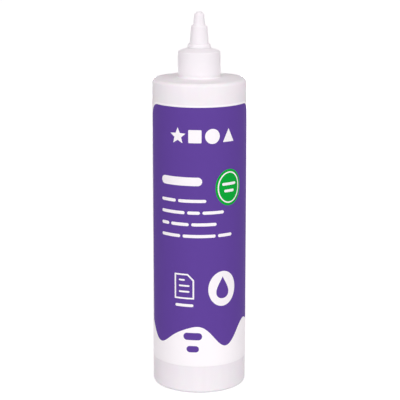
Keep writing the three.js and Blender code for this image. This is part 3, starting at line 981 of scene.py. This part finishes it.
class FlatPrint:
    """Shapes of one ink, laid flat on the film before they are bent round the bottle."""

    def __init__(self, label, name):
        self.label = label
        self.name = name
        self.shapes = []

    def depth(self, layer):
        """Distance of a layer of ink in front of the film's back."""
        return self.label.film + (layer - 1) * self.label.ink

    def lay(self, add_primitive, layer, across, up, width, height, **settings):
        """Lays a flat shape on a layer, stretched to a width and height, with its middle at a place."""
        centre = Vector((across * MM, -self.depth(layer), up * MM))
        shape = start(add_primitive, self.name, location=centre, rotation=UPRIGHT, **settings)
        with edit_mode(shape):
            bpy.ops.transform.resize(value=(width * MM, 1, height * MM), center_override=centre)
        self.shapes.append(shape)
        return shape

    def bar(self, layer, across, up, width, height, rounding=None):
        """Adds a bar with round corners."""
        bar = self.lay(bpy.ops.mesh.primitive_plane_add, layer, across, up, width, height, size=1)
        offset = (rounding or height * BAR_ROUNDING) * MM
        with edit_mode(bar):
            bpy.ops.mesh.bevel(offset=offset, segments=ARC_STEPS, affect="VERTICES", clamp_overlap=False)

    def disc(self, layer, across, up, half_width, half_height, sides=OVAL_SIDES):
        """Adds an oval, or a polygon of few sides."""
        return self.lay(bpy.ops.mesh.primitive_circle_add, layer, across, up, half_width, half_height,
                        vertices=sides, radius=1, fill_type="NGON")

    def star(self, layer, across, up, radius):
        """Adds a star, whose waist points are every second one of a polygon."""
        star = self.disc(layer, across, up, radius, radius, 2 * STAR_POINTS)
        for number, point in enumerate(star.data.vertices):
            if number % 2:
                point.co.x = (across + (point.co.x / MM - across) * STAR_WAIST) * MM
                point.co.z = (up + (point.co.z / MM - up) * STAR_WAIST) * MM

    def drop(self, layer, across, up, half_width, half_height):
        """Adds a teardrop: an oval that narrows to a point at its top."""
        drop = self.disc(layer, across, up, half_width, half_height)
        for point in drop.data.vertices:
            below_top = (up + half_height - point.co.z / MM) / (2 * half_height)
            share = max(0, below_top) ** DROP_TAPER
            point.co.x = (across + (point.co.x / MM - across) * share) * MM

    def sheet(self, layer, across, up, width, height):
        """Adds the outline of a sheet of paper with one corner cut off."""
        sheet = self.lay(bpy.ops.mesh.primitive_plane_add, layer, across, up, width, height, size=1)
        with edit_mode(sheet):
            select_points(sheet, lambda point: point.x > across * MM and point.z > up * MM)
            bpy.ops.mesh.bevel(offset=SHEET_CUT * MM, segments=1, affect="VERTICES")
        self.outline(sheet, SHEET_LINE)

    def outline(self, shape, line):
        """Keeps only a line along the edge of a shape."""
        with edit_mode(shape):
            bpy.ops.mesh.inset(thickness=line * MM)
            bpy.ops.mesh.delete(type="FACE")

    def finished(self):
        """Joins the shapes, cuts them into columns, gives them the ink's thickness and bends them."""
        piece = merge(self.shapes)
        piece.name = self.name
        cut_columns(piece, self.label)
        thicken(piece, self.label.ink)
        bend_round(piece)
        return piece


def cut_columns(piece, label):
    """Cuts a flat piece into upright columns, so that it can bend smoothly."""
    step = label.column * LABEL_RADIUS
    across = [point.co.x for point in piece.data.vertices]
    with edit_mode(piece):
        for number in range(math.ceil(min(across) / step), math.floor(max(across) / step) + 1):
            bpy.ops.mesh.select_all(action="SELECT")
            bpy.ops.mesh.bisect(plane_co=(number * step, 0, 0), plane_no=(1, 0, 0))


def thicken(piece, thickness):
    """Gives a flat piece its thickness, towards the front."""
    with edit_mode(piece):
        bpy.ops.mesh.extrude_region_move(TRANSFORM_OT_translate={"value": (0, -thickness, 0)})
        close_up()


def bend_round(piece):
    """Bends a flat piece round the bottle."""
    across = [point.co.x for point in piece.data.vertices]
    apply_modifier(piece, "SIMPLE_DEFORM", deform_method="BEND", deform_axis="Z",
                   angle=(max(across) - min(across)) / LABEL_RADIUS)
    with edit_mode(piece):
        bpy.ops.transform.translate(value=(0, -LABEL_RADIUS, 0))
    smooth(piece)


def film_sheet(name, label, inset, layer_depth):
    """Flat sheet with the label's outline, drawn in by an inset."""
    half = label.half_wrap * LABEL_RADIUS - inset
    low, high = LABEL_LOW.z + inset, LABEL_HIGH.z - inset
    centre = Vector((0, -layer_depth, (low + high) / 2))
    sheet = start(bpy.ops.mesh.primitive_plane_add, name, size=1, location=centre, rotation=UPRIGHT)
    with edit_mode(sheet):
        bpy.ops.transform.resize(value=(2 * half, 1, high - low), center_override=centre)
        for edge, radius in ((high, label.top_corner), (low, label.bottom_corner)):
            select_points(sheet, lambda point: abs(point.z - edge) < WELD_DISTANCE)
            bpy.ops.mesh.bevel(offset=radius - inset, segments=2 * ARC_STEPS, affect="VERTICES")
    return sheet


def wave_at(label, across):
    """Height of the printed wave at a distance across the label."""
    place = across / MM
    swell = sum(size * math.cos(FULL_TURN * (place - crest) / spacing) for size, spacing, crest in WAVES)
    return label.wave_height + swell * MM


def violet_field(label):
    """Printed field of the label, whose lower edge is a wave."""
    field = film_sheet("label_violet", label, label.margin, label.film)
    cut_columns(field, label)
    cut_height = LABEL_LOW.z + label.bottom_corner
    with edit_mode(field):
        bpy.ops.mesh.bisect(plane_co=(0, 0, cut_height), plane_no=(0, 0, 1), clear_inner=True)
    for point in field.data.vertices:
        if abs(point.co.z - cut_height) < WELD_DISTANCE:
            point.co.z = wave_at(label, point.co.x)
    return field


def white_marks(label):
    """White print: cut-paper shapes, plain bars, an oval, a sheet of paper and the badge's ring."""
    ink = FlatPrint(label, "label_white")
    star_at, square_at, disc_at, triangle_at = (
        SHAPES_LEFT + SHAPES_SPACING * number for number in range(4))
    ink.disc(MARK_LAYER, disc_at, SHAPES_HEIGHT, DISC_RADIUS, DISC_RADIUS)
    ink.disc(MARK_LAYER, triangle_at, SHAPES_HEIGHT - TRIANGLE_DROP, *TRIANGLE_OVAL, sides=3)
    ink.bar(MARK_LAYER, square_at, SHAPES_HEIGHT, SQUARE_SIDE, SQUARE_SIDE, SQUARE_ROUNDING)
    ink.star(MARK_LAYER, star_at, SHAPES_HEIGHT, STAR_RADIUS)
    ink.bar(MARK_LAYER, *LEAD_BAR)
    for up, widths in ROWS:
        left = ROWS_LEFT
        for width in widths:
            ink.bar(MARK_LAYER, left + width / 2, up, width, label.bar / MM)
            left += width + ROW_GAP
    ink.disc(MARK_LAYER, *DROP_OVAL)
    ink.sheet(MARK_LAYER, *SHEET)
    for up, width in SHEET_BARS:
        ink.bar(MARK_LAYER, SHEET_BARS_LEFT + width / 2, up, width, SHEET_BAR_HEIGHT)
    ink.bar(MARK_LAYER, *SHEET_FOOT_BAR)
    ink.outline(ink.disc(TOP_LAYER, *BADGE_RING), BADGE_LINE)
    for up, width in BADGE_BARS:
        ink.bar(TOP_LAYER, BADGE[0], up, width, BADGE_BAR_HEIGHT)
    return ink.finished()


def violet_marks(label):
    """Violet print: the field, the drop on its white oval and the bars on the white foot."""
    ink = FlatPrint(label, "label_violet")
    ink.shapes.append(violet_field(label))
    ink.drop(TOP_LAYER, *DROP)
    for bar in FOOT_BARS:
        ink.bar(FIELD_LAYER, *bar)
    return ink.finished()


def green_marks(label):
    """Green print: the oval of the badge."""
    ink = FlatPrint(label, "label_green")
    ink.disc(MARK_LAYER, *BADGE)
    return ink.finished()


class GLUE_BOTTLE_OT_print_label(Operator):
    """Models the wrapped film label and its three inks"""
    bl_idname = "glue_bottle.print_label"
    bl_label = "Print Label"

    def execute(self, context):
        settings = context.scene.glue_bottle
        label, finishes = settings.label, settings.finishes
        film = film_sheet("label_film", label, 0, 0)
        cut_columns(film, label)
        thicken(film, label.film)
        bend_round(film)
        finish(film, label_film(finishes.film), "bottle", "front_label")
        inks = (
            (green_marks(label), "green_screen_ink", finishes.green),
            (violet_marks(label), "violet_screen_ink", finishes.violet),
            (white_marks(label), "white_screen_ink", finishes.white),
        )
        for piece, name, base in inks:
            finish(piece, screen_ink(name, base), "bottle")
        return {"FINISHED"}


# Studio.

FLOOR_SIZE = 14000 * MM
WHITE = (1, 1, 1, 1)
CLIP_START = 10 * MM


def even_light(studio):
    """World that looks white and lights the object evenly, more from in front than from behind."""
    world = bpy.data.worlds.new("studio_world")
    world.use_nodes = True
    tree = world.node_tree
    tree.nodes.clear()
    direction = add(tree, "ShaderNodeTexCoord").outputs["Generated"]
    in_front = (0, -math.cos(studio.light_lean), -math.sin(studio.light_lean))
    towards = add(tree, "ShaderNodeVectorMath", {0: direction, 1: in_front}, operation="DOT_PRODUCT")
    share = add(tree, "ShaderNodeMapRange", {
        "Value": towards.outputs["Value"], "From Min": -studio.light_edge, "From Max": studio.light_edge})
    back = add(tree, "ShaderNodeBackground", {
        "Color": shade_of(studio.back_tint, 1), "Strength": studio.back_light})
    front = add(tree, "ShaderNodeBackground", {
        "Color": shade_of(studio.front_tint, 1), "Strength": studio.front_light})
    light = add(tree, "ShaderNodeMixShader", {
        0: share.outputs["Result"], 1: back.outputs["Background"], 2: front.outputs["Background"]})
    white = add(tree, "ShaderNodeBackground", {"Color": WHITE, "Strength": 1})
    both = add(tree, "ShaderNodeMixShader", {
        0: seen_directly(tree), 1: light.outputs["Shader"], 2: white.outputs["Background"]})
    add(tree, "ShaderNodeOutputWorld", {"Surface": both.outputs["Shader"]})
    return world


def soft_light(name, place, width, height, power):
    """Soft light at a place, aimed at the middle of the bottle and hidden from sight."""
    bpy.ops.object.light_add(type="AREA", location=place)
    lamp = bpy.context.object
    lamp.name = name
    lamp.data.shape = "RECTANGLE"
    lamp.data.size, lamp.data.size_y = width, height
    lamp.data.energy = power
    lamp.visible_camera = lamp.visible_glossy = False
    middle = sum(CAD_BOX, Vector()) / 2
    lamp.rotation_euler = (middle - place).to_track_quat("-Z", "Y").to_euler()


def photo_camera(studio):
    """Camera that looks down at the label from a little to its left."""
    turn = studio.camera_turn
    ahead = Vector((math.sin(turn), -math.cos(turn), 0)) * studio.camera_distance
    aside = Vector((math.cos(turn), math.sin(turn), 0)) * studio.camera_aside
    place = ahead + aside + Vector((0, 0, studio.camera_height))
    bpy.ops.object.camera_add(location=place, rotation=(math.pi / 2 - studio.camera_pitch, 0, turn))
    camera = bpy.context.object
    camera.name = "photo_camera"
    camera.data.lens = studio.lens
    camera.data.clip_start = CLIP_START
    return camera


class GLUE_BOTTLE_OT_set_stage(Operator):
    """Sets up the floor, the soft light and the camera"""
    bl_idname = "glue_bottle.set_stage"
    bl_label = "Set Stage"

    def execute(self, context):
        scene = context.scene
        studio, finishes = scene.glue_bottle.studio, scene.glue_bottle.finishes
        scene.view_settings.view_transform = "Standard"
        floor = start(bpy.ops.mesh.primitive_plane_add, "studio_floor", size=FLOOR_SIZE)
        floor.data.materials.append(studio_paper(finishes.floor, studio.floor_lift))
        scene.world = even_light(studio)
        front = Vector((0, -studio.lamp_distance, studio.key_lift))
        back = Vector((0, studio.lamp_distance, studio.fill_lift))
        soft_light("key_light", front, studio.key_width, studio.key_height, studio.key_power)
        soft_light("fill_light", back, studio.fill_width, studio.fill_height, studio.fill_power)
        scene.camera = photo_camera(studio)
        return {"FINISHED"}


# Sidebar panel and registration.

STEPS = (
    GLUE_BOTTLE_OT_blow_bottle,
    GLUE_BOTTLE_OT_fill_glue,
    GLUE_BOTTLE_OT_print_label,
    GLUE_BOTTLE_OT_mould_collar,
    GLUE_BOTTLE_OT_mould_nozzle,
    GLUE_BOTTLE_OT_cut_liner,
    GLUE_BOTTLE_OT_set_stage,
)


class GLUE_BOTTLE_PT_panel(Panel):
    """Lists the steps of the model and its settings"""
    bl_idname = "GLUE_BOTTLE_PT_panel"
    bl_label = "White Glue Bottle"
    bl_space_type = "VIEW_3D"
    bl_region_type = "UI"
    bl_category = "Glue Bottle"

    def draw(self, context):
        layout = self.layout
        for step in STEPS:
            layout.operator(step.bl_idname)
        for name in GlueBottle.__annotations__:
            group = getattr(context.scene.glue_bottle, name)
            box = layout.box()
            box.label(text=name.capitalize())
            for setting in type(group).__annotations__:
                box.prop(group, setting)


CLASSES = (
    BottleSizes, ThreadSizes, CollarSizes, NozzleSizes, LabelSizes, Finishes, StudioSettings, GlueBottle,
    *STEPS, GLUE_BOTTLE_PT_panel,
)


def register():
    for made in CLASSES:
        bpy.utils.register_class(made)
    bpy.types.Scene.glue_bottle = PointerProperty(type=GlueBottle)


def unregister():
    del bpy.types.Scene.glue_bottle
    for made in reversed(CLASSES):
        bpy.utils.unregister_class(made)


def main():
    register()
    bpy.ops.glue_bottle.blow_bottle()
    bpy.ops.glue_bottle.fill_glue()
    bpy.ops.glue_bottle.print_label()
    bpy.ops.glue_bottle.mould_collar()
    bpy.ops.glue_bottle.mould_nozzle()
    bpy.ops.glue_bottle.cut_liner()
    bpy.ops.glue_bottle.set_stage()


if __name__ == "__main__":
    main()
